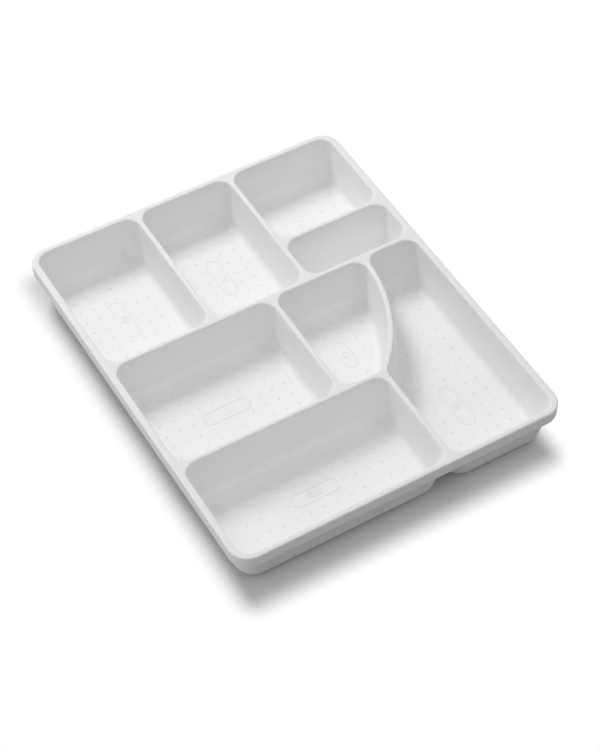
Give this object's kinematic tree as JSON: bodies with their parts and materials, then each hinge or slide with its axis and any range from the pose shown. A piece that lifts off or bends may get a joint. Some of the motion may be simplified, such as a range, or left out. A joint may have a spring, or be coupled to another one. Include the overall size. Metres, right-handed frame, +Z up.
{
  "type": "drawer organizer",
  "caption": "Shallow moulded drawer organizer tray with rectangular, curved and scooped compartments, soft-grip dotted floor liners and non-slip feet underneath.",
  "frame": {"origin": "under the middle of the tray, on the plane that its feet stand on", "axes": "+X along the front edge to the right, +Y from the front to the back row, +Z up out of the compartments"},
  "size_m": [0.305, 0.37, 0.046],
  "materials": {
    "tray_plastic": "fine satin texture, white",
    "liner_soft": "matte soft-touch, white",
    "foot_rubber": "matte, pale grey"
  },
  "bodies": {
    "root": {"tray_shell": "tray_plastic", "liner_back_left": "liner_soft", "liner_back_middle": "liner_soft", "liner_back_right": "liner_soft", "liner_middle_left": "liner_soft", "liner_middle_curved": "liner_soft", "liner_right_long": "liner_soft", "liner_front_left": "liner_soft", "foot_front_left": "foot_rubber", "foot_front_middle": "foot_rubber", "foot_front_right": "foot_rubber", "foot_middle_left": "foot_rubber", "foot_middle_right": "foot_rubber", "foot_back_left": "foot_rubber", "foot_back_middle": "foot_rubber", "foot_back_right": "foot_rubber"}
  },
  "joints": []
}
